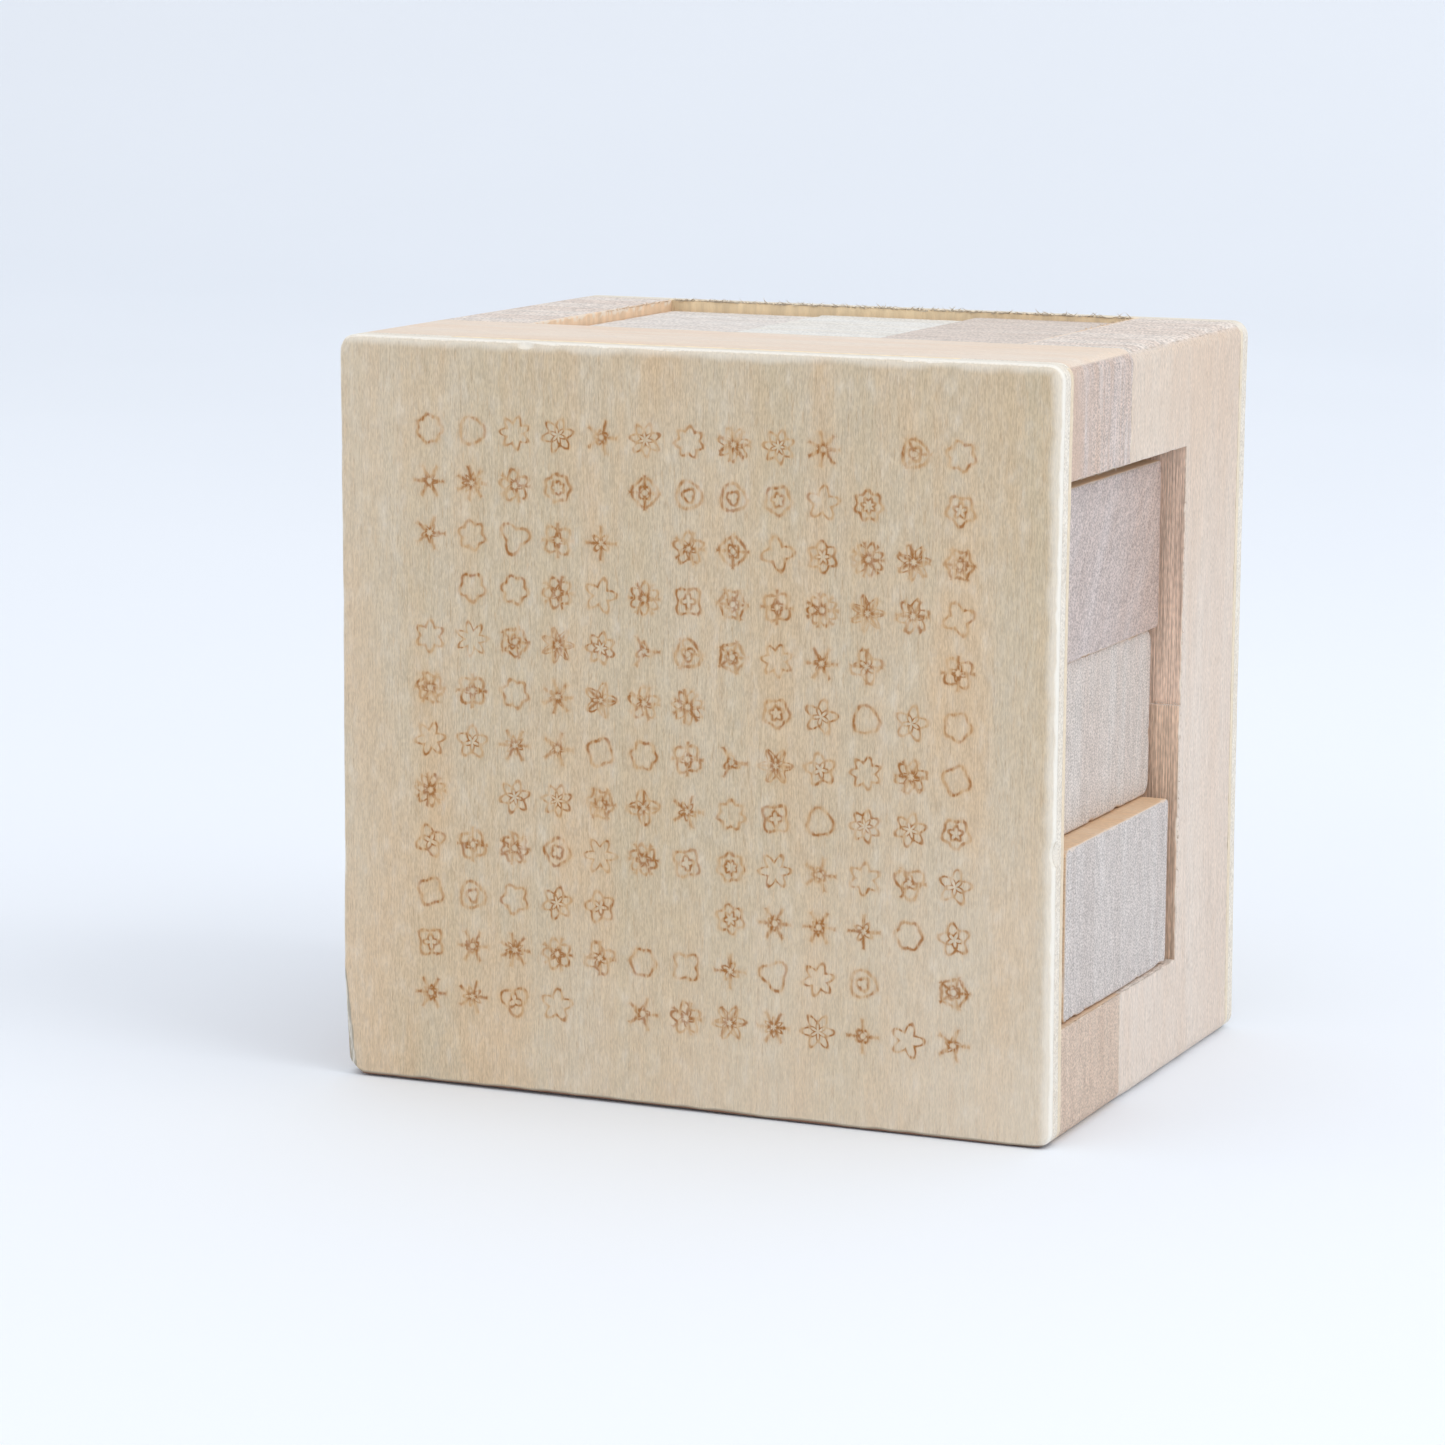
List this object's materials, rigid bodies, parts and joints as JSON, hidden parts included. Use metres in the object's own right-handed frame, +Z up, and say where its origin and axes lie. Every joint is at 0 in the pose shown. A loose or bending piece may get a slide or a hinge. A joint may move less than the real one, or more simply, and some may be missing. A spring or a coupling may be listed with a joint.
{
  "type": "wooden puzzle box",
  "caption": "Square wooden frame between plywood plates, open at its windows, with interlocking notched bars trapped inside that slide and lift.",
  "frame": {"origin": "middle of the underside that the box stands on", "axes": "+Z up, +X to the right, and -Y towards the front plate"},
  "size_m": [0.075, 0.058, 0.0742],
  "materials": {
    "plate_face": "unvarnished, sanded, vertical grain",
    "plate_core": "unvarnished, cross-grained ply edge",
    "plate_inner": "unvarnished, sanded",
    "rail_wood": "unvarnished, sanded, grain along the rail",
    "side_wood": "unvarnished, sawn and lightly sanded, vertical grain",
    "cross_bar_wood": "unvarnished, mottled end grain",
    "upright_wood": "unvarnished, pale end grain",
    "upright_wood_dark": "unvarnished, brown end grain"
  },
  "bodies": {
    "box": {"front_face_veneer": "plate_face", "front_core_veneer": "plate_core", "front_inner_veneer": "plate_inner", "back_face_veneer": "plate_face", "back_core_veneer": "plate_core", "back_inner_veneer": "plate_inner", "top_front_rail": "rail_wood", "bottom_front_rail": "rail_wood", "left_side_board": "side_wood", "right_side_board": "side_wood"},
    "key_bar": {"key_bar": "cross_bar_wood"},
    "middle_bar": {"middle_bar": "cross_bar_wood"},
    "upper_bar": {"upper_bar": "cross_bar_wood"},
    "left_upright": {"left_upright": "upright_wood"},
    "middle_upright": {"middle_upright": "upright_wood"},
    "right_upright": {"right_upright": "upright_wood_dark"}
  },
  "joints": [
    {"name": "key_bar_slide", "type": "slide", "parent": "box", "child": "key_bar", "axis": [1, 0, 0], "range_m": [-0.076, 0.076]},
    {"name": "middle_bar_play", "type": "slide", "parent": "box", "child": "middle_bar", "axis": [1, 0, 0], "range_m": [-0.0008, 0.0028]},
    {"name": "upper_bar_play", "type": "slide", "parent": "box", "child": "upper_bar", "axis": [1, 0, 0], "range_m": [-0.0015, 0.0021]},
    {"name": "left_upright_lift", "type": "slide", "parent": "box", "child": "left_upright", "axis": [0, 0, 1], "range_m": [0, 0.001]},
    {"name": "middle_upright_lift", "type": "slide", "parent": "box", "child": "middle_upright", "axis": [0, 0, 1], "range_m": [0, 0.001]},
    {"name": "right_upright_lift", "type": "slide", "parent": "box", "child": "right_upright", "axis": [0, 0, 1], "range_m": [0, 0.001]}
  ]
}
